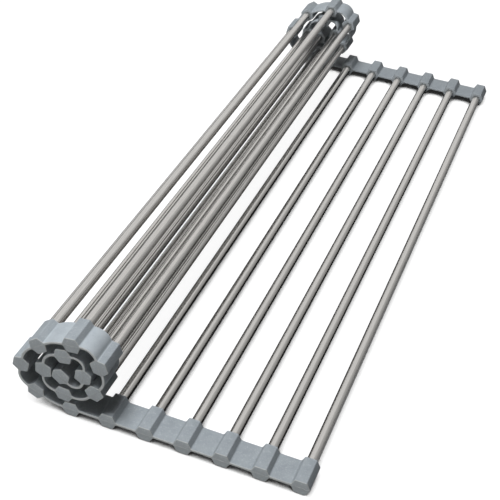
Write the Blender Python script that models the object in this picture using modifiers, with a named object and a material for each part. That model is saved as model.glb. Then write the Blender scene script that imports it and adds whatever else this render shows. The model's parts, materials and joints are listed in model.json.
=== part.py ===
"""Roll up dish drying rack, half rolled: eighteen steel tubes held by two flexible end strips.

Lengths are in metres and angles in degrees. The tubes run along Y and the strips along X. Slat 1 is the
free end of the flat stretch at +X, and slat 18 is at the heart of the roll at -X. Each strip is drawn as
one lug for each tube, with half a web on either side, and neighbours meet at the middle of a web, where
the strip flexes. The rack stands on z = 0, centred on x = 0 and y = 0.
"""
import math

import bmesh
import bpy
from mathutils import Matrix, Vector

# Driving sizes
TUBE_COUNT = 18
TUBE_DIAMETER = 0.0060
TUBE_WALL = 0.0005
STRIP_SPAN = 0.450          # outer face of one strip to outer face of the other
LUG_LENGTH = 0.0173         # along the tube, web included
LUG_WIDTH = 0.0108          # across the pointed sides
LUG_FLAT = 0.0063           # flat top and flat bottom
LUG_HEIGHT = 0.0093
WEB_LENGTH = 0.0110         # along the strip, from lug to lug
WEB_THICKNESS = 0.0015      # at the middle of a web, where it flexes
WEB_ROOT_THICKNESS = 0.0018 # where it grows out of a lug
SOCKET_DEPTH = 0.0130
SEAT_CLEARANCE = 0.0003     # round and behind each tube in its socket
FLEX_GAP = 0.00036          # between the two halves of a web
ROLL_CLEARANCE = 0.0003     # least distance between neighbours in the roll

# How far each web of the roll is bent, from the flat stretch to the heart of the roll
ROLL_TURNS = [26.9, 76.3, 40.3, 28.7, 79.6, 56.3, 56.6, 89.5, 72.4, 111.9, 121.2]
WINDING_STEP = 0.01         # share of every bend that is wound in or let out at a time to settle the roll

TUBE_SEGMENTS = 20
ARC_STEP = 15.0             # largest angle between two points of a bent web
TIP_POINTS = 5              # round end of a half web
CUT_OVERRUN = 0.001
FLAT_ANGLE = math.radians(0.5)      # faces nearer to one plane than this are one face
LEAST_BEND = 1e-9                   # a web bent less than this, in radians, is straight
MERGE_DISTANCE = 0.000005           # points nearer than this are one point

COLLECTION_NAME = "roll_up_dish_drying_rack"
CUTTER_COLLECTION_NAME = "cutters"
STEEL = {"color": (0.66, 0.64, 0.61, 1.0), "metallic": 1.0, "roughness": 0.28}
SILICONE = {"color": (0.27, 0.31, 0.34, 1.0), "metallic": 0.0, "roughness": 0.62}

HALF_WEB = WEB_LENGTH / 2
HALF_THICKNESS = WEB_THICKNESS / 2
HALF_ROOT_THICKNESS = WEB_ROOT_THICKNESS / 2


def web_turns():
    """Bend of every web, in radians: none on the flat stretch, then the turns of the roll."""
    bent = ROLL_TURNS[:TUBE_COUNT - 1]
    flat = [0.0] * (TUBE_COUNT - 1 - len(bent))
    return [math.radians(turn) for turn in flat + bent]


def along_web(distance, turn, side):
    """Point and direction on a web's mid line, in the slat's own x and z, that far from the lug.

    side is -1 for the web towards the next slat and +1 for the one towards the slat before.
    """
    bend = turn * distance / WEB_LENGTH
    if abs(bend) < LEAST_BEND:
        run, rise = distance, 0.0
    else:
        radius = distance / bend
        run, rise = radius * math.sin(bend), radius * (1 - math.cos(bend))
    return Vector((side * (LUG_WIDTH / 2 + run), rise)), bend


def slat_places(turns):
    """Centre (x, z) and tilt of each slat, and the hinge (x, z) that each has in common with the last."""
    centre, tilt = Vector((0.0, 0.0)), 0.0
    places = [(centre, tilt, centre)]
    for turn in turns:
        reach, half_bend = along_web(HALF_WEB, turn, -1)
        hinge = centre + turned(reach, tilt)
        tilt += 2 * half_bend
        back, _ = along_web(HALF_WEB, turn, 1)
        centre = hinge - turned(back, tilt)
        places.append((centre, tilt, hinge))
    return places


def turned(point, tilt):
    """A point of a slat's own x and z, turned by the slat's tilt about Y."""
    cos, sin = math.cos(tilt), math.sin(tilt)
    return Vector((point.x * cos + point.y * sin, -point.x * sin + point.y * cos))


def half_web_outline(turn, side, tip_distance):
    """Points round half a web, from its upper root to its lower root."""
    steps = max(1, math.ceil(abs(math.degrees(turn)) / 2 / ARC_STEP))
    upper, lower = [], []
    for step in range(steps + 1):
        middle, bend = along_web(tip_distance * step / steps, turn, side)
        half_thickness = HALF_ROOT_THICKNESS + (HALF_THICKNESS - HALF_ROOT_THICKNESS) * step / steps
        normal = Vector((-side * math.sin(bend), math.cos(bend))) * half_thickness
        upper.append(middle + normal)
        lower.append(middle - normal)
    tip, bend = along_web(tip_distance, turn, side)
    ahead = Vector((side * math.cos(bend), math.sin(bend)))
    across = Vector((-side * math.sin(bend), math.cos(bend)))
    round_end = []
    for step in range(1, TIP_POINTS + 1):
        angle = math.pi * step / (TIP_POINTS + 1)
        round_end.append(tip + (across * math.cos(angle) + ahead * math.sin(angle)) * HALF_THICKNESS)
    return upper + round_end + lower[::-1]


def side_outline(turn, side, tip_distance):
    """Points down one side of a lug, from top to bottom, round its half web where it has one."""
    if turn is None:
        return [Vector((side * LUG_WIDTH / 2, 0.0))]
    slope = (LUG_WIDTH - LUG_FLAT) / LUG_HEIGHT
    root = side * (LUG_WIDTH / 2 - HALF_ROOT_THICKNESS * slope)
    web = half_web_outline(turn, side, tip_distance)[1:-1]
    return [Vector((root, HALF_ROOT_THICKNESS))] + web + [Vector((root, -HALF_ROOT_THICKNESS))]


def lug_outline(turns, index):
    """Outline of a lug with its half webs: down the side of the next slat, up the side of the last."""
    turn_next = turns[index] if index < len(turns) else None
    turn_last = turns[index - 1] if index > 0 else None
    top, bottom = LUG_HEIGHT / 2, -LUG_HEIGHT / 2
    left = side_outline(turn_next, -1, HALF_WEB)
    right = side_outline(turn_last, 1, HALF_WEB - WEB_THICKNESS - FLEX_GAP)
    corners_left = [Vector((-LUG_FLAT / 2, top))] + left + [Vector((-LUG_FLAT / 2, bottom))]
    corners_right = [Vector((LUG_FLAT / 2, bottom))] + right[::-1] + [Vector((LUG_FLAT / 2, top))]
    return corners_left + corners_right


def convex_pieces(turns, index, place):
    """The slat's section as convex polygons in world x and z: the lug, and each step of its half webs."""
    centre, tilt, _ = place
    corners = [(-LUG_FLAT / 2, LUG_HEIGHT / 2), (-LUG_WIDTH / 2, 0.0), (-LUG_FLAT / 2, -LUG_HEIGHT / 2),
               (LUG_FLAT / 2, -LUG_HEIGHT / 2), (LUG_WIDTH / 2, 0.0), (LUG_FLAT / 2, LUG_HEIGHT / 2)]
    pieces = [[Vector(corner) for corner in corners]]
    arms = []
    if index < len(turns):
        arms.append(half_web_outline(turns[index], -1, HALF_WEB))
    if index > 0:
        arms.append(half_web_outline(turns[index - 1], 1, HALF_WEB - WEB_THICKNESS - FLEX_GAP))
    for arm in arms:
        steps = (len(arm) - TIP_POINTS) // 2 - 1
        for step in range(steps):
            pieces.append([arm[step], arm[step + 1], arm[-step - 2], arm[-step - 1]])
        pieces.append(arm[steps:len(arm) - steps])
    return [[centre + turned(point, tilt) for point in piece] for piece in pieces]


def separation(first, second):
    """How far apart two convex polygons are along the best of their own edge normals."""
    best = -math.inf
    for polygon, other in ((first, second), (second, first)):
        middle = sum(polygon, Vector((0.0, 0.0))) / len(polygon)
        for start, end in zip(polygon, polygon[1:] + polygon[:1]):
            edge = end - start
            normal = Vector((edge.y, -edge.x)).normalized()
            if (start - middle).dot(normal) < 0:
                normal = -normal
            gap = min((point - start).dot(normal) for point in other)
            best = max(best, gap)
    return best


def roll_is_clear(turns):
    """Whether no two slats that aren't neighbours come nearer than the roll's clearance."""
    places = slat_places(turns)
    sections = [convex_pieces(turns, index, place) for index, place in enumerate(places)]
    reach = LUG_WIDTH + WEB_LENGTH + LUG_HEIGHT
    for index, section in enumerate(sections):
        for other in range(index + 1, len(sections)):
            if (places[index][0] - places[other][0]).length > reach:
                continue
            neighbours = other == index + 1
            pairs = [(section[0], sections[other][0])] if neighbours else [
                (piece, rival) for piece in section for rival in sections[other]]
            if any(separation(piece, rival) < ROLL_CLEARANCE for piece, rival in pairs):
                return False
    return True


def settled_turns():
    """The turns of the roll, wound in or let out alike until its lugs just clear each other."""
    turns = web_turns()
    share = 1.0
    while roll_is_clear([turn * (share + WINDING_STEP) for turn in turns]):
        share += WINDING_STEP
    while share > 0 and not roll_is_clear([turn * share for turn in turns]):
        share -= WINDING_STEP
    return [turn * max(share, 0.0) for turn in turns]


def clear_scene():
    for item in list(bpy.data.objects):
        bpy.data.objects.remove(item, do_unlink=True)
    for collection in list(bpy.data.collections):
        bpy.data.collections.remove(collection)


def new_collection(name):
    collection = bpy.data.collections.new(name)
    bpy.context.scene.collection.children.link(collection)
    return collection


def new_material(name, look):
    material = bpy.data.materials.new(name)
    material.use_nodes = True
    shader = material.node_tree.nodes["Principled BSDF"]
    shader.inputs["Base Color"].default_value = look["color"]
    shader.inputs["Metallic"].default_value = look["metallic"]
    shader.inputs["Roughness"].default_value = look["roughness"]
    material.diffuse_color = look["color"]
    return material


def flat_prism(name, outline, thickness):
    """A mesh of an outline in x and z, with the given thickness along Y about y = 0."""
    curve = bpy.data.curves.new(name, "CURVE")
    curve.dimensions = "2D"
    curve.fill_mode = "BOTH"
    curve.extrude = thickness / 2
    spline = curve.splines.new("POLY")
    spline.points.add(len(outline) - 1)
    for point, place in zip(spline.points, outline):
        point.co = (place.x, place.y, 0.0, 1.0)
    spline.use_cyclic_u = True
    drawing = bpy.data.objects.new(name + "_outline", curve)
    bpy.context.scene.collection.objects.link(drawing)
    evaluated = drawing.evaluated_get(bpy.context.evaluated_depsgraph_get())
    mesh = bpy.data.meshes.new_from_object(evaluated)
    bpy.data.objects.remove(drawing, do_unlink=True)
    bpy.data.curves.remove(curve)
    solid = bmesh.new()
    solid.from_mesh(mesh)
    bmesh.ops.remove_doubles(solid, verts=solid.verts, dist=MERGE_DISTANCE)
    bmesh.ops.dissolve_limit(solid, angle_limit=FLAT_ANGLE, verts=[], edges=solid.edges)
    bmesh.ops.recalc_face_normals(solid, faces=solid.faces)
    bmesh.ops.transform(solid, matrix=Matrix.Rotation(math.pi / 2, 4, "X"), verts=solid.verts)
    solid.to_mesh(mesh)
    solid.free()
    return mesh


def add_cutter(collection, name, radius, start, end):
    """A round cutter along Y from start to end."""
    mesh = bpy.data.meshes.new(name)
    solid = bmesh.new()
    bmesh.ops.create_cone(solid, cap_ends=True, segments=TUBE_SEGMENTS, radius1=radius, radius2=radius,
                          depth=abs(end - start), matrix=Matrix.Rotation(math.pi / 2, 4, "X"))
    solid.to_mesh(mesh)
    solid.free()
    cutter = bpy.data.objects.new(name, mesh)
    cutter.location = (0.0, (start + end) / 2, 0.0)
    cutter.hide_render = True
    cutter.display_type = "WIRE"
    collection.objects.link(cutter)
    return cutter


def add_slat_empty(collection, name, place):
    """The empty that carries a slat: it sits on the slat's hinge, tilted as the slat is."""
    _, tilt, hinge = place
    empty = bpy.data.objects.new(name, None)
    empty.empty_display_size = LUG_HEIGHT
    empty.location = (hinge.x, 0.0, hinge.y)
    empty.rotation_euler = (0.0, tilt, 0.0)
    collection.objects.link(empty)
    return empty


def own_offset(place):
    """Where the slat's centre lies in the frame of its empty."""
    centre, tilt, hinge = place
    offset = turned(centre - hinge, -tilt)
    return Vector((offset.x, 0.0, offset.y))


def add_lug(collection, cutters, name, outline, end, empty, place, material):
    """A lug with its half webs and its blind socket. end is -1 at the front and +1 at the rear."""
    mesh = flat_prism(name, outline, LUG_LENGTH)
    mesh.materials.append(material)
    lug = bpy.data.objects.new(name, mesh)
    collection.objects.link(lug)
    lug.parent = empty
    lug.location = own_offset(place) + Vector((0.0, end * (STRIP_SPAN - LUG_LENGTH) / 2, 0.0))
    mouth = -end * (LUG_LENGTH / 2 + CUT_OVERRUN)
    floor = -end * (LUG_LENGTH / 2 - SOCKET_DEPTH)
    cutter = add_cutter(cutters, name + "_socket", TUBE_DIAMETER / 2 + SEAT_CLEARANCE, mouth, floor)
    cutter.parent = lug
    socket = lug.modifiers.new("socket", "BOOLEAN")
    socket.operation = "DIFFERENCE"
    socket.solver = "EXACT"
    socket.object = cutter
    return lug


def tube_mesh(material):
    """Ring profile of the tube, to be turned about its own Z."""
    outer = TUBE_DIAMETER / 2
    inner = outer - TUBE_WALL
    half = STRIP_SPAN / 2 - LUG_LENGTH + SOCKET_DEPTH - SEAT_CLEARANCE
    profile = [(outer, 0.0, half), (outer, 0.0, -half), (inner, 0.0, -half), (inner, 0.0, half)]
    mesh = bpy.data.meshes.new("tube_profile")
    mesh.from_pydata(profile, [(0, 1), (1, 2), (2, 3), (3, 0)], [])
    mesh.materials.append(material)
    return mesh


def add_tube(collection, name, mesh, empty, place):
    tube = bpy.data.objects.new(name, mesh)
    collection.objects.link(tube)
    tube.parent = empty
    tube.location = own_offset(place)
    tube.rotation_euler = (math.pi / 2, 0.0, 0.0)
    turn = tube.modifiers.new("turn", "SCREW")
    turn.axis = "Z"
    turn.steps = TUBE_SEGMENTS
    turn.render_steps = TUBE_SEGMENTS
    turn.use_merge_vertices = True
    turn.merge_threshold = MERGE_DISTANCE
    turn.use_smooth_shade = True
    return tube


def standing_places(turns):
    """The slats' places with the rack centred on x = 0 and standing on z = 0."""
    places = slat_places(turns)
    ends, lows = [], []
    for index, (centre, tilt, _) in enumerate(places):
        corners = [centre + turned(point, tilt) for point in lug_outline(turns, index)]
        ends += [corner.x for corner in corners]
        lows += [corner.y for corner in corners]
    shift = Vector((-(min(ends) + max(ends)) / 2, -min(lows)))
    return [(centre + shift, tilt, hinge + shift) for centre, tilt, hinge in places]


def build():
    clear_scene()
    rack = new_collection(COLLECTION_NAME)
    cutters = new_collection(CUTTER_COLLECTION_NAME)
    steel = new_material("brushed_steel", STEEL)
    silicone = new_material("grey_silicone", SILICONE)
    turns = settled_turns()
    tube = tube_mesh(steel)
    for index, place in enumerate(standing_places(turns)):
        number = f"{index + 1:02d}"
        outline = lug_outline(turns, index)
        empty = add_slat_empty(rack, "slat_" + number, place)
        add_tube(rack, "tube_" + number, tube, empty, place)
        add_lug(rack, cutters, "front_strip_lug_" + number, outline, -1, empty, place, silicone)
        add_lug(rack, cutters, "rear_strip_lug_" + number, outline, 1, empty, place, silicone)


build()
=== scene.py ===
"""Looks of the roll up dish drying rack: brushed steel tubes in grey silicone strips, on a white table.

Every piece is drawn in the frame's own metres. A lug is drawn in its slat's own x, y and z and rides on
the slat. A web is drawn bent as it is stored, between the two slats that it joins.
"""

import json
import math

import bmesh
import bpy
from mathutils import Euler, Matrix, Vector


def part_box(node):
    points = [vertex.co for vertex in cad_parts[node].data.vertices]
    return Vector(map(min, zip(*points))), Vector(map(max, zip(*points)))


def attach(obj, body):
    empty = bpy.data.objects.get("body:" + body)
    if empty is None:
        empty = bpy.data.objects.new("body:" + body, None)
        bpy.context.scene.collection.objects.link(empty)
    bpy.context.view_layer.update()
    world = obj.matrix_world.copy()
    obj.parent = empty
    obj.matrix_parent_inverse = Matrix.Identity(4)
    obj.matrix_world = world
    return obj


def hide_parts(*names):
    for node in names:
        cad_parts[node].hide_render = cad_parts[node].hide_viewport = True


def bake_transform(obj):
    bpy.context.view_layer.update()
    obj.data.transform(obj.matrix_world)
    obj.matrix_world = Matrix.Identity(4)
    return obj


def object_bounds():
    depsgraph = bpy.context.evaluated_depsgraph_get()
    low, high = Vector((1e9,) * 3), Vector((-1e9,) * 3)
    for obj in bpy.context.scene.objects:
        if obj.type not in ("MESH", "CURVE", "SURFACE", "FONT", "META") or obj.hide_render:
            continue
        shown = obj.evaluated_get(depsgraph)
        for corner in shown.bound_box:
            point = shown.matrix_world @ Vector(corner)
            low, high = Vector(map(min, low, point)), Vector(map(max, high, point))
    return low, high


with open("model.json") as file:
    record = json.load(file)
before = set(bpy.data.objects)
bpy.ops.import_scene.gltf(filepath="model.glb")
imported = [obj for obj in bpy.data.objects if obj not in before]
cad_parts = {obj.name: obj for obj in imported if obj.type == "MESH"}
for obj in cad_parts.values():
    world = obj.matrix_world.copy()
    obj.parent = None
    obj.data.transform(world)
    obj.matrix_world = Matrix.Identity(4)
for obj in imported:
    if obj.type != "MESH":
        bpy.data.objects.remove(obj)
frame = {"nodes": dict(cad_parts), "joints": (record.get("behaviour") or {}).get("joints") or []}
cad_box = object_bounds()

# Sizes of the rack, in metres
LUG_LENGTH = 0.0173
LUG_WIDTH = 0.0108
LUG_FLAT = 0.0063
LUG_HEIGHT = 0.0093
WEB_LENGTH = 0.0110
WEB_THICKNESS = 0.0015
SOCKET_DEPTH = 0.0130
TUBE_RADIUS = 0.0030
TUBE_WALL = 0.0005
STRIP_END = cad_box[1][1]

# Details of the silicone
CORNER_RADIUS = 0.0007      # long edges of a lug
END_RADIUS = 0.0004         # edges round the end faces of a lug
END_INSET = 0.0001          # the end face lies this far behind the ridge of the parting line
CORNER_POINTS = 6
ROUND_STEPS = 4
SOCKET_RADIUS = TUBE_RADIUS + 0.00003
MOUTH_ROUND = 0.00045
PARTING_WIDTH = 0.00022
PARTING_RISE = 0.0001
ROOT_FILLET = 0.0010        # where a web grows out of a lug
ROOT_START = 0.6            # the stations of a web start this share of the fillet inside the lug
WEB_BURY = 0.0009           # how far a web's end reaches into its lug
WEB_EDGE_RADIUS = 0.00035
WEB_EDGE_INSET = 0.00012
WEB_STATIONS = 22
WEB_CORNER_POINTS = 4
SHARP_ANGLE = 40            # degrees between faces above which an edge stays sharp

# Details of the tubes
TUBE_SEGMENTS = 48
TUBE_LIP = 0.00012
TUBE_SHARP_ANGLE = 30

# Look of the silicone: tints from dark to pale, and noise scales per metre
SILICONE_TINTS = [(0.30, (0.275, 0.300, 0.320, 1.0)),
                  (0.50, (0.302, 0.328, 0.348, 1.0)),
                  (0.75, (0.328, 0.354, 0.372, 1.0))]
SILICONE_ROUGHNESS = (0.50, 0.68)
SILICONE_SPECULAR = 0.25
MOTTLE_SCALE = 160.0
GRAIN_SCALE = 5200.0
GRAIN_DEPTH = 0.00006
GRAIN_STRENGTH = 0.35
DUST_SCALE = 1200.0
DUST_COLOUR = (0.46, 0.49, 0.51, 1.0)
DUST_SHARES = [(0.55, (0.0, 0.0, 0.0, 1.0)), (0.72, (0.45, 0.45, 0.45, 1.0))]
# Painted light: the outer side of a web that is bent round the roll is drawn paler, standing in for the
# light that the roll's outer faces catch.
OUTER_PAINTED_LIGHT = 1.28            # the outer side of a web that is bent round the roll is this much paler
OUTER_SIDE = "outer_side"   # 1 on the side of a web that is stretched as stored, 0 on the other
# Painted highlight: a pale line along the rounded edges of the strips' outer faces, reaching partly over a
# web's end face, stands in for light catching those edges.
RIM_WIDTH = 0.0005
RIM_HIGHLIGHT_COLOUR = (0.43, 0.44, 0.43, 1.0)
RIM_FACING = 0.80           # facing along the tubes: up to this a spot is rim
END_FACING = 0.97           # and from this on it is end face
LUG_FACE_HIGHLIGHT = 0.0        # how much of the rim's colour the end face of a lug takes
WEB_FACE_HIGHLIGHT = 0.45       # and that of a web

# Look of the steel
STEEL_TINTS = [(0.25, (0.515, 0.502, 0.483, 1.0)), (0.75, (0.620, 0.605, 0.583, 1.0))]
STEEL_ROUGHNESS = (0.18, 0.28)
STEEL_ANISOTROPY = 0.8
STEEL_ANISOTROPY_TURN = 0.25
BRUSH_SCALE = (2600.0, 90.0, 400.0)
BRUSH_LEAN = 52             # degrees
BRUSH_DEPTH = 0.00002
BRUSH_STRENGTH = 0.15
BRUSH_SHIFT = 3.0           # each tube's lines are shifted along it by up to this many metres

# Camera, fitted to the photograph
CAMERA_PLACE = (0.16062, -0.57158, 0.43223)
CAMERA_TURN = (51.8575, -3.3471, 21.2768)
CAMERA_LENS = 77.27
SENSOR_WIDTH = 36.0

# Table and sky
WHITE = (1.0, 1.0, 1.0, 1.0)
BLACK = (0.0, 0.0, 0.0, 1.0)
SKY_LIGHT = 0.03            # overhead, fading to nothing at the horizon
TABLE_SIZE = 12.0
TABLE_TOP = -0.0002
TABLE_ROUGHNESS = 0.9
TABLE_SPECULAR = 0.1
TABLE_GREY = 0.22
TABLE_LIFT = 0.92           # the table's own brightness to the camera, near the rack
TABLE_NEAR = 0.35           # that far from the middle it starts to rise
TABLE_FAR = 1.20            # and here it is 1
SHADE_REACH = 0.010         # pieces closer than this over the table shade it
SHADE_SAMPLES = 8
SHADE_FULL = 0.38           # share of open sky at which a spot of the table is in full shade
SHADE_NONE = 0.54           # and at which it is in none
SHADE_GREY = 0.02

# Sheets that only the steel sees
# Painted shade: a dark sheet under the rack, seen only in the steel, stands in for the shade beneath it.
SHADE_SHEET_TOP = -0.0001
SHADE_SHEET_COLOUR = (0.02, 0.02, 0.02, 1.0)
CARD_PLACE = 0.50           # x of the card at the right
CARD_HEIGHT = 1.6
CARD_WIDTH = 4.0
CARD_GREYS = [(0.0, 0.30), (0.06, 0.38), (0.20, 0.55), (0.78, 0.80), (1.0, 1.0)]    # from the table up

# Lamps: name, place, the spot that it faces, size, power in watts and colour
LAMPS = [("key_light", (-0.18, -0.22, 1.05), (-0.02, -0.18, 0.0), 0.35, 12.6, (0.96, 0.98, 1.0)),
         ("front_fill", (-0.05, -2.40, 0.10), (-0.05, 0.0, 0.03), 0.36, 29.5, (1.0, 0.985, 0.95)),
         ("back_fill", (-0.05, 2.40, 0.10), (-0.05, 0.0, 0.03), 0.36, 29.5, (1.0, 0.985, 0.95))]


def tube_names():
    return sorted(name for name in frame["nodes"] if name.startswith("tube_"))


def web_joints():
    return sorted(frame["joints"], key=lambda joint: joint["name"])


def stored_bend(joint):
    """How far a web is bent as stored: a web of the roll opens from there to flat, at its lowest limit."""
    low, high = joint["range_deg"]
    return math.radians(-low) if high == 0 else 0.0


def slat_frames():
    """Centre (x, z) and tilt of every slat, read from the tubes and the bends of the webs."""
    bends = [stored_bend(joint) for joint in web_joints()]
    frames, tilt = [], 0.0
    for index, name in enumerate(tube_names()):
        low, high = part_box(name)
        if index:
            tilt += bends[index - 1]
        frames.append((Vector(((low[0] + high[0]) / 2, (low[2] + high[2]) / 2)), tilt))
    return frames, bends


def turned(point, tilt):
    """A point of a slat's own x and z, turned by the slat's tilt about Y."""
    cos, sin = math.cos(tilt), math.sin(tilt)
    return Vector((point.x * cos + point.y * sin, -point.x * sin + point.y * cos))


def lug_corners(inset):
    """The six corners of a lug's section in x and z, drawn in by an even inset."""
    across, up = LUG_WIDTH / 2, LUG_HEIGHT / 2
    flat = LUG_FLAT / 2
    corners = [Vector(place) for place in ((flat, up), (-flat, up), (-across, 0.0), (-flat, -up),
                                           (flat, -up), (across, 0.0))]
    lines = []
    for start, end in zip(corners, corners[1:] + corners[:1]):
        normal = Vector(((end - start).y, -(end - start).x)).normalized()
        if normal.dot(start) < 0:
            normal = -normal
        lines.append((normal, normal.dot(start) - inset))
    drawn = []
    for (normal_a, reach_a), (normal_b, reach_b) in zip(lines[-1:] + lines[:-1], lines):
        area = normal_a.x * normal_b.y - normal_a.y * normal_b.x
        drawn.append((Vector(((reach_a * normal_b.y - reach_b * normal_a.y) / area,
                              (reach_b * normal_a.x - reach_a * normal_b.x) / area)), normal_a, normal_b))
    return drawn


def lug_ring(radius):
    """A lug's section with its corners rounded to a radius, round the corners of the inner hexagon."""
    ring = []
    for corner, normal_a, normal_b in lug_corners(CORNER_RADIUS):
        turn = normal_a.angle_signed(normal_b)
        for step in range(CORNER_POINTS):
            share = step / (CORNER_POINTS - 1)
            normal = normal_a.copy()
            normal.rotate(Matrix.Rotation(-turn * share, 2))
            ring.append(corner + normal * radius)
    return ring


def round_ring(radius, like):
    """A circle with its points at the same bearings as those of another ring."""
    return [point.normalized() * radius for point in like]


def loft(mesh, rings):
    """Fills a mesh with faces between rings of (x, y, z) points, closed at both ends."""
    made = [[mesh.verts.new(point) for point in ring] for ring in rings]
    count = len(rings[0])
    for first, second in zip(made, made[1:]):
        for index in range(count):
            after = (index + 1) % count
            mesh.faces.new((first[index], first[after], second[after], second[index]))
    mesh.faces.new(made[0][::-1])
    mesh.faces.new(made[-1])


def finish_mesh(name, mesh, material, sharp_angle):
    bmesh.ops.recalc_face_normals(mesh, faces=mesh.faces)
    data = bpy.data.meshes.new(name)
    mesh.to_mesh(data)
    mesh.free()
    data.shade_smooth()
    data.set_sharp_from_angle(angle=math.radians(sharp_angle))
    data.materials.append(material)
    piece = bpy.data.objects.new(name, data)
    bpy.context.scene.collection.objects.link(piece)
    return piece


def lug_rings(end):
    """Rings of a lug from the floor of its socket out to the mouth and over to the outer face.

    end is -1 for the front strip and +1 for the rear strip.
    """
    outer = end * (STRIP_END - END_INSET)
    inner = end * (STRIP_END - LUG_LENGTH + END_INSET)
    full = lug_ring(CORNER_RADIUS)
    quarter = [math.pi / 2 * step / ROUND_STEPS for step in range(ROUND_STEPS + 1)]
    rings = []

    def add(points, y):
        rings.append([(point.x, y, point.y) for point in points])

    add(round_ring(SOCKET_RADIUS, full), inner + end * SOCKET_DEPTH)
    for angle in quarter:
        add(round_ring(SOCKET_RADIUS + MOUTH_ROUND * (1 - math.cos(angle)), full),
            inner + end * MOUTH_ROUND * (1 - math.sin(angle)))
    for angle in quarter:
        add(lug_ring(CORNER_RADIUS - END_RADIUS * (1 - math.sin(angle))),
            inner + end * END_RADIUS * (1 - math.cos(angle)))
    for angle in quarter:
        add(lug_ring(CORNER_RADIUS - END_RADIUS * (1 - math.cos(angle))),
            outer - end * END_RADIUS * (1 - math.sin(angle)))
    return rings


def add_parting_ridge(mesh, end):
    """The fine ridge that the mould's two halves leave across a lug's outer face."""
    face = end * (STRIP_END - END_INSET)
    half = LUG_WIDTH / 2 - CORNER_RADIUS
    foot, crest = PARTING_WIDTH / 2, PARTING_WIDTH / 4
    section = [(-foot, -PARTING_RISE), (-foot, 0.0), (-crest, PARTING_RISE),
               (crest, PARTING_RISE), (foot, 0.0), (foot, -PARTING_RISE)]
    rings = [[(x, face + end * rise, z) for z, rise in section] for x in (-half, half)]
    loft(mesh, rings)


def add_lug(node, body, end, place, material):
    mesh = bmesh.new()
    loft(mesh, lug_rings(end))
    add_parting_ridge(mesh, end)
    lug = finish_mesh("look_" + node, mesh, material, SHARP_ANGLE)
    centre, tilt = place
    lug.matrix_world = Matrix.Translation((centre.x, 0.0, centre.y)) @ Matrix.Rotation(tilt, 4, "Y")
    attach(lug, body)
    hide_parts(node)


def web_place(distance, bend):
    """Point and direction on a web's mid line in the x and z of the slat that it leaves, going to -x."""
    inside = min(max(distance, 0.0), WEB_LENGTH)
    angle = bend * inside / WEB_LENGTH
    if abs(angle) < 1e-9:
        run, rise = inside, 0.0
    else:
        radius = inside / angle
        run, rise = radius * math.sin(angle), radius * (1 - math.cos(angle))
    beyond = distance - inside
    ahead = Vector((-math.cos(angle), math.sin(angle)))
    return Vector((-LUG_WIDTH / 2 - run, rise)) + ahead * beyond, angle


def web_half_thickness(distance):
    """Half a web's thickness: even along the web, with a fillet where it meets the slope of a lug."""
    half = WEB_THICKNESS / 2
    slope = math.atan2(LUG_HEIGHT, LUG_WIDTH - LUG_FLAT)
    nearest = min(distance, WEB_LENGTH - distance)
    corner = -half / math.tan(slope)
    centre = corner + ROOT_FILLET * math.tan(slope / 2)
    past = centre - nearest
    if 0 < past < ROOT_FILLET * math.sin(slope):
        return half + ROOT_FILLET - math.sqrt(ROOT_FILLET ** 2 - past ** 2)
    return half


def web_ring(half_thickness, half_length):
    """A web's section as (up, along the tube), with its four long edges rounded."""
    radius = WEB_EDGE_RADIUS
    ring = []
    for quarter in range(4):
        up = (half_thickness - radius) * (1, -1, -1, 1)[quarter]
        along = (half_length - radius) * (1, 1, -1, -1)[quarter]
        for step in range(WEB_CORNER_POINTS):
            angle = math.pi / 2 * (quarter + step / (WEB_CORNER_POINTS - 1))
            ring.append((up + radius * math.cos(angle), along + radius * math.sin(angle)))
    return ring


def web_distances():
    """Stations along a web, close together at its roots."""
    root = ROOT_FILLET * ROOT_START
    stations = [-WEB_BURY]
    for step in range(WEB_STATIONS + 1):
        share = (1 - math.cos(math.pi * step / WEB_STATIONS)) / 2
        stations.append(-root + (WEB_LENGTH + 2 * root) * share)
    return stations + [WEB_LENGTH + WEB_BURY]


def add_web(name, end, place, bend, material):
    """A web, drawn bent as it is stored. place is that of the slat that it leaves."""
    centre, tilt = place
    middle = end * (STRIP_END - LUG_LENGTH / 2)
    mesh = bmesh.new()
    outer_side = mesh.verts.layers.float.new(OUTER_SIDE)
    rings, sides = [], []
    for distance in web_distances():
        point, angle = web_place(distance, bend)
        normal = Vector((math.sin(angle), math.cos(angle)))
        ring = []
        for up, along in web_ring(web_half_thickness(distance), LUG_LENGTH / 2 - WEB_EDGE_INSET):
            spot = centre + turned(point + normal * up, tilt)
            ring.append((spot.x, middle + along, spot.y))
            sides.append(1.0 if up < 0 else 0.0)
        rings.append(ring)
    loft(mesh, rings)
    for vertex, side in zip(mesh.verts, sides):
        vertex[outer_side] = side
    web = finish_mesh(name, mesh, material, SHARP_ANGLE)
    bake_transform(web)


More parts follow.
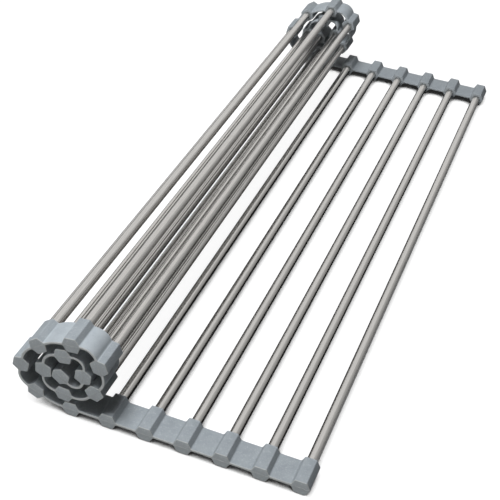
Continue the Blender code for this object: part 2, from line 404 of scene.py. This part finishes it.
def add_tube(node, body, place, material):
    """A hollow tube with lightly rounded ends, drawn along its own Y."""
    low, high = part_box(node)
    half = (high[1] - low[1]) / 2
    inner = TUBE_RADIUS - TUBE_WALL
    stations = [(inner, -half + TUBE_LIP), (inner + TUBE_LIP, -half), (TUBE_RADIUS - TUBE_LIP, -half),
                (TUBE_RADIUS, -half + TUBE_LIP), (TUBE_RADIUS, half - TUBE_LIP),
                (TUBE_RADIUS - TUBE_LIP, half), (inner + TUBE_LIP, half), (inner, half - TUBE_LIP)]
    mesh = bmesh.new()
    made = []
    for radius, y in stations:
        ring = []
        for step in range(TUBE_SEGMENTS):
            angle = 2 * math.pi * step / TUBE_SEGMENTS
            ring.append(mesh.verts.new((radius * math.cos(angle), y, radius * math.sin(angle))))
        made.append(ring)
    for first, second in zip(made, made[1:] + made[:1]):
        for step in range(TUBE_SEGMENTS):
            after = (step + 1) % TUBE_SEGMENTS
            mesh.faces.new((first[step], first[after], second[after], second[step]))
    tube = finish_mesh("look_" + node, mesh, material, TUBE_SHARP_ANGLE)
    centre, tilt = place
    tube.matrix_world = Matrix.Translation((centre.x, 0.0, centre.y)) @ Matrix.Rotation(tilt, 4, "Y")
    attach(tube, body)
    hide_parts(node)


def new_material(name):
    material = bpy.data.materials.new(name)
    material.use_nodes = True
    nodes = material.node_tree.nodes
    return material, nodes, material.node_tree.links, nodes["Principled BSDF"]


def add_node(nodes, kind, **values):
    """A node with its properties and, for keys that name sockets, its input values."""
    node = nodes.new(kind)
    for key, value in values.items():
        if hasattr(node, key):
            setattr(node, key, value)
        else:
            node.inputs[key.replace("_", " ")].default_value = value
    return node


def colour_ramp(nodes, stops):
    ramp = nodes.new("ShaderNodeValToRGB")
    ramp.color_ramp.elements[0].position, ramp.color_ramp.elements[0].color = stops[0]
    ramp.color_ramp.elements[1].position, ramp.color_ramp.elements[1].color = stops[-1]
    for position, colour in stops[1:-1]:
        ramp.color_ramp.elements.new(position).color = colour
    return ramp


def colour_mix(nodes, colour, blend_type="MIX"):
    """A colour mix whose B is set."""
    mix = add_node(nodes, "ShaderNodeMix", data_type="RGBA", blend_type=blend_type)
    mix.inputs["B"].default_value = colour
    return mix


def rim_highlight_mask(nodes, links, place, highlight_face_share):
    """Painted highlight mask: 1 along the rounded edge of a strip's outer face, and the given face share on
    the face itself.
    """
    sizes = []
    for output in ("Object", "Normal"):
        axes = nodes.new("ShaderNodeSeparateXYZ")
        size = add_node(nodes, "ShaderNodeMath", operation="ABSOLUTE")
        links.new(place.outputs[output], axes.inputs["Vector"])
        links.new(axes.outputs["Y"], size.inputs[0])
        sizes.append(size)
    near_edge = add_node(nodes, "ShaderNodeMapRange", interpolation_type="SMOOTHSTEP",
                         From_Min=STRIP_END - RIM_WIDTH, From_Max=STRIP_END - RIM_WIDTH / 2)
    off_face = add_node(nodes, "ShaderNodeMapRange", interpolation_type="SMOOTHSTEP",
                        From_Min=RIM_FACING, From_Max=END_FACING, To_Min=1.0, To_Max=highlight_face_share)
    both = add_node(nodes, "ShaderNodeMath", operation="MULTIPLY")
    for index, (size, share) in enumerate(zip(sizes, (near_edge, off_face))):
        links.new(size.outputs["Value"], share.inputs["Value"])
        links.new(share.outputs["Result"], both.inputs[index])
    return both


def silicone_material(name, highlight_face_share, painted_light=False):
    """Matt blue grey silicone: a fine moulded grain, soft mottling, pale dust and a painted highlight along
    the rims.

    If asked, the outer side of a web is painted paler, as painted light on the roll's outer faces.
    """
    material, nodes, links, shader = new_material(name)
    place = nodes.new("ShaderNodeTexCoord")
    mottle = add_node(nodes, "ShaderNodeTexNoise", Scale=MOTTLE_SCALE, Detail=4.0, Roughness=0.6)
    tint = colour_ramp(nodes, SILICONE_TINTS)
    dust = add_node(nodes, "ShaderNodeTexNoise", Scale=DUST_SCALE, Detail=2.0, Roughness=0.5)
    dust_mask = colour_ramp(nodes, DUST_SHARES)
    dusty = colour_mix(nodes, DUST_COLOUR)
    rim_highlight_mix = colour_mix(nodes, RIM_HIGHLIGHT_COLOUR)
    grain = add_node(nodes, "ShaderNodeTexNoise", Scale=GRAIN_SCALE, Detail=3.0, Roughness=0.65)
    bump = add_node(nodes, "ShaderNodeBump", Strength=GRAIN_STRENGTH, Distance=GRAIN_DEPTH)
    gloss = add_node(nodes, "ShaderNodeMapRange", To_Min=SILICONE_ROUGHNESS[0], To_Max=SILICONE_ROUGHNESS[1])
    for texture in (mottle, dust, grain):
        links.new(place.outputs["Object"], texture.inputs["Vector"])
    links.new(mottle.outputs["Fac"], tint.inputs["Fac"])
    links.new(dust.outputs["Fac"], dust_mask.inputs["Fac"])
    links.new(dust_mask.outputs["Color"], dusty.inputs["Factor"])
    # Painted light: the outer side of a rolled web is drawn paler.
    if painted_light:
        outer = add_node(nodes, "ShaderNodeAttribute", attribute_name=OUTER_SIDE)
        pale = colour_mix(nodes, (OUTER_PAINTED_LIGHT, OUTER_PAINTED_LIGHT, OUTER_PAINTED_LIGHT, 1.0), "MULTIPLY")
        links.new(outer.outputs["Fac"], pale.inputs["Factor"])
        links.new(tint.outputs["Color"], pale.inputs["A"])
        links.new(pale.outputs["Result"], dusty.inputs["A"])
    else:
        links.new(tint.outputs["Color"], dusty.inputs["A"])
    # Painted highlight: paler colour along the rims of the outer faces.
    links.new(rim_highlight_mask(nodes, links, place, highlight_face_share).outputs["Value"], rim_highlight_mix.inputs["Factor"])
    links.new(dusty.outputs["Result"], rim_highlight_mix.inputs["A"])
    links.new(rim_highlight_mix.outputs["Result"], shader.inputs["Base Color"])
    links.new(mottle.outputs["Fac"], gloss.inputs["Value"])
    links.new(gloss.outputs["Result"], shader.inputs["Roughness"])
    links.new(grain.outputs["Fac"], bump.inputs["Height"])
    links.new(bump.outputs["Normal"], shader.inputs["Normal"])
    shader.inputs["Specular IOR Level"].default_value = SILICONE_SPECULAR
    return material


def steel_material():
    """Brushed stainless steel: fine slanting polishing lines on a warm grey tube."""
    material, nodes, links, shader = new_material("brushed_steel")
    place = nodes.new("ShaderNodeTexCoord")
    chance = nodes.new("ShaderNodeObjectInfo")
    spread = add_node(nodes, "ShaderNodeMath", operation="MULTIPLY")
    spread.inputs[1].default_value = BRUSH_SHIFT
    shift = nodes.new("ShaderNodeCombineXYZ")
    moved = nodes.new("ShaderNodeVectorMath")
    lean = add_node(nodes, "ShaderNodeMapping", Rotation=(0.0, 0.0, math.radians(BRUSH_LEAN)),
                    Scale=BRUSH_SCALE)
    lines = add_node(nodes, "ShaderNodeTexNoise", Scale=1.0, Detail=3.0, Roughness=0.7)
    tint = colour_ramp(nodes, STEEL_TINTS)
    gloss = add_node(nodes, "ShaderNodeMapRange", To_Min=STEEL_ROUGHNESS[0], To_Max=STEEL_ROUGHNESS[1])
    bump = add_node(nodes, "ShaderNodeBump", Strength=BRUSH_STRENGTH, Distance=BRUSH_DEPTH)
    around = add_node(nodes, "ShaderNodeTangent", direction_type="RADIAL", axis="Y")
    links.new(chance.outputs["Random"], spread.inputs[0])
    links.new(spread.outputs["Value"], shift.inputs["Y"])
    links.new(place.outputs["Object"], moved.inputs[0])
    links.new(shift.outputs["Vector"], moved.inputs[1])
    links.new(moved.outputs["Vector"], lean.inputs["Vector"])
    links.new(lean.outputs["Vector"], lines.inputs["Vector"])
    links.new(lines.outputs["Fac"], tint.inputs["Fac"])
    links.new(tint.outputs["Color"], shader.inputs["Base Color"])
    links.new(lines.outputs["Fac"], gloss.inputs["Value"])
    links.new(gloss.outputs["Result"], shader.inputs["Roughness"])
    links.new(lines.outputs["Fac"], bump.inputs["Height"])
    links.new(bump.outputs["Normal"], shader.inputs["Normal"])
    links.new(around.outputs["Tangent"], shader.inputs["Tangent"])
    shader.inputs["Metallic"].default_value = 1.0
    shader.inputs["Anisotropic"].default_value = STEEL_ANISOTROPY
    shader.inputs["Anisotropic Rotation"].default_value = STEEL_ANISOTROPY_TURN
    return material


def white_world():
    """A dim sky, brightest overhead, that the camera and the steel see as plain white."""
    world = bpy.data.worlds.new("studio")
    bpy.context.scene.world = world
    world.use_nodes = True
    nodes, links = world.node_tree.nodes, world.node_tree.links
    nodes.clear()
    path = nodes.new("ShaderNodeLightPath")
    camera_or_glossy = add_node(nodes, "ShaderNodeMath", operation="MAXIMUM")
    seen = add_node(nodes, "ShaderNodeMath", operation="MAXIMUM")
    sky = nodes.new("ShaderNodeTexCoord")
    axes = nodes.new("ShaderNodeSeparateXYZ")
    height = add_node(nodes, "ShaderNodeMapRange", To_Max=SKY_LIGHT)
    light = add_node(nodes, "ShaderNodeBackground", Color=WHITE)
    white = add_node(nodes, "ShaderNodeBackground", Color=WHITE, Strength=1.0)
    mix = nodes.new("ShaderNodeMixShader")
    output = nodes.new("ShaderNodeOutputWorld")
    links.new(sky.outputs["Generated"], axes.inputs["Vector"])
    links.new(axes.outputs["Z"], height.inputs["Value"])
    links.new(height.outputs["Result"], light.inputs["Strength"])
    links.new(path.outputs["Is Camera Ray"], camera_or_glossy.inputs[0])
    links.new(path.outputs["Is Glossy Ray"], camera_or_glossy.inputs[1])
    links.new(camera_or_glossy.outputs["Value"], seen.inputs[0])
    links.new(path.outputs["Is Transmission Ray"], seen.inputs[1])
    links.new(seen.outputs["Value"], mix.inputs["Fac"])
    links.new(light.outputs["Background"], mix.inputs[1])
    links.new(white.outputs["Background"], mix.inputs[2])
    links.new(mix.outputs["Shader"], output.inputs["Surface"])


def table_material():
    """White table that glows a little to the camera, with painted shade where pieces stand close over it.

    Away from the rack it is plain white to the camera, so no edge shows against the white world.
    """
    material, nodes, links, shader = new_material("white_table")
    shader.inputs["Roughness"].default_value = TABLE_ROUGHNESS
    shader.inputs["Specular IOR Level"].default_value = TABLE_SPECULAR
    shader.inputs["Emission Color"].default_value = WHITE
    # Painted shade: the table's colour and glow are darkened where a spot has little open sky.
    open_sky = add_node(nodes, "ShaderNodeAmbientOcclusion", samples=SHADE_SAMPLES, Distance=SHADE_REACH)
    grey = add_node(nodes, "ShaderNodeMapRange", From_Min=SHADE_FULL, From_Max=SHADE_NONE,
                    To_Min=SHADE_GREY, To_Max=TABLE_GREY)
    unshaded = add_node(nodes, "ShaderNodeMapRange", From_Min=SHADE_FULL, From_Max=SHADE_NONE,
                        To_Min=SHADE_GREY)
    place = nodes.new("ShaderNodeTexCoord")
    away = add_node(nodes, "ShaderNodeVectorMath", operation="LENGTH")
    lift = add_node(nodes, "ShaderNodeMapRange", interpolation_type="SMOOTHSTEP", From_Min=TABLE_NEAR,
                    From_Max=TABLE_FAR, To_Min=TABLE_LIFT)
    path = nodes.new("ShaderNodeLightPath")
    seen = add_node(nodes, "ShaderNodeMath", operation="MULTIPLY")
    glow = add_node(nodes, "ShaderNodeMath", operation="MULTIPLY")
    links.new(open_sky.outputs["AO"], grey.inputs["Value"])
    links.new(open_sky.outputs["AO"], unshaded.inputs["Value"])
    links.new(grey.outputs["Result"], shader.inputs["Base Color"])
    links.new(place.outputs["Object"], away.inputs[0])
    links.new(away.outputs["Value"], lift.inputs["Value"])
    links.new(path.outputs["Is Camera Ray"], seen.inputs[0])
    links.new(unshaded.outputs["Result"], seen.inputs[1])
    links.new(seen.outputs["Value"], glow.inputs[0])
    links.new(lift.outputs["Result"], glow.inputs[1])
    links.new(glow.outputs["Value"], shader.inputs["Emission Strength"])
    return material


def add_sheet(name, place, scale, material, size=1.0, turn=0.0):
    """A flat sheet, turned about Y."""
    bpy.ops.mesh.primitive_plane_add(size=size, location=place, rotation=(0.0, turn, 0.0))
    sheet = bpy.context.active_object
    sheet.name = name
    sheet.scale = scale
    sheet.data.materials.append(material)
    return sheet


def add_table():
    table = add_sheet("table", (0.0, 0.0, TABLE_TOP), (1.0, 1.0, 1.0), table_material(), size=TABLE_SIZE)


def glossy_only(card):
    card.visible_camera = False
    card.visible_diffuse = False
    card.visible_shadow = False
    card.visible_transmission = False


def add_shade_sheet():
    """Painted shade: a dark sheet under the rack that only the steel sees, standing in for the shade beneath
    the rack, for the dark lines along the tubes' edges.
    """
    low, high = cad_box
    material, _, _, shader = new_material("floor_flag")
    shader.inputs["Base Color"].default_value = SHADE_SHEET_COLOUR
    shader.inputs["Roughness"].default_value = 1.0
    shader.inputs["Specular IOR Level"].default_value = 0.0
    flag = add_sheet("floor_flag", ((low[0] + high[0]) / 2, 0.0, SHADE_SHEET_TOP),
                     (high[0] - low[0], high[1] - low[1], 1.0), material)
    glossy_only(flag)


def add_right_card():
    """A card at the right that shades from dark at the table to white above, seen only by the steel."""
    material, nodes, links, shader = new_material("right_card")
    place = nodes.new("ShaderNodeTexCoord")
    axes = nodes.new("ShaderNodeSeparateXYZ")
    shade = colour_ramp(nodes, [(share, (grey, grey, grey, 1.0)) for share, grey in CARD_GREYS])
    shader.inputs["Base Color"].default_value = BLACK
    shader.inputs["Specular IOR Level"].default_value = 0.0
    shader.inputs["Emission Strength"].default_value = 1.0
    links.new(place.outputs["Generated"], axes.inputs["Vector"])
    links.new(axes.outputs["X"], shade.inputs["Fac"])
    links.new(shade.outputs["Color"], shader.inputs["Emission Color"])
    card = add_sheet("right_card", (CARD_PLACE, 0.0, CARD_HEIGHT / 2), (CARD_HEIGHT, CARD_WIDTH, 1.0),
                     material, turn=-math.pi / 2)
    glossy_only(card)


def add_lamp(name, place, aim, size, power, colour):
    """A square soft light that no reflection shows."""
    light = bpy.data.lights.new(name, "AREA")
    light.shape = "SQUARE"
    light.color = colour
    light.size = size
    light.energy = power
    lamp = bpy.data.objects.new(name, light)
    lamp.location = place
    lamp.rotation_euler = (Vector(aim) - Vector(place)).to_track_quat("-Z", "Y").to_euler()
    lamp.visible_glossy = False
    bpy.context.scene.collection.objects.link(lamp)


def add_camera():
    data = bpy.data.cameras.new("camera")
    data.lens = CAMERA_LENS
    data.sensor_width = SENSOR_WIDTH
    data.sensor_fit = "HORIZONTAL"
    camera = bpy.data.objects.new("camera", data)
    camera.location = CAMERA_PLACE
    camera.rotation_euler = Euler([math.radians(angle) for angle in CAMERA_TURN], "XYZ")
    bpy.context.scene.collection.objects.link(camera)
    bpy.context.scene.camera = camera


def dress_rack():
    steel = steel_material()
    silicone = silicone_material("grey_silicone", LUG_FACE_HIGHLIGHT)
    web_silicone = silicone_material("web_silicone", WEB_FACE_HIGHLIGHT)
    # Painted light: a paler copy of the web silicone for the webs of the roll, on their outer side.
    painted_light = silicone_material("painted_light_silicone", WEB_FACE_HIGHLIGHT, painted_light=True)
    frames, bends = slat_frames()
    for index, place in enumerate(frames):
        number = f"{index + 1:02d}"
        body = "slat_" + number
        add_tube("tube_" + number, body, place, steel)
        for side, end in (("front", -1), ("rear", 1)):
            add_lug(f"{side}_strip_lug_{number}", body, end, place, silicone)
            if index < len(bends):
                after = f"{index + 2:02d}"
                add_web(f"look_{side}_web_{number}_{after}", end, place,
                        bends[index], painted_light if bends[index] else web_silicone)


dress_rack()
white_world()
add_table()
add_shade_sheet()
add_right_card()
for lamp in LAMPS:
    add_lamp(*lamp)
add_camera()
bpy.context.scene.view_settings.view_transform = "Standard"
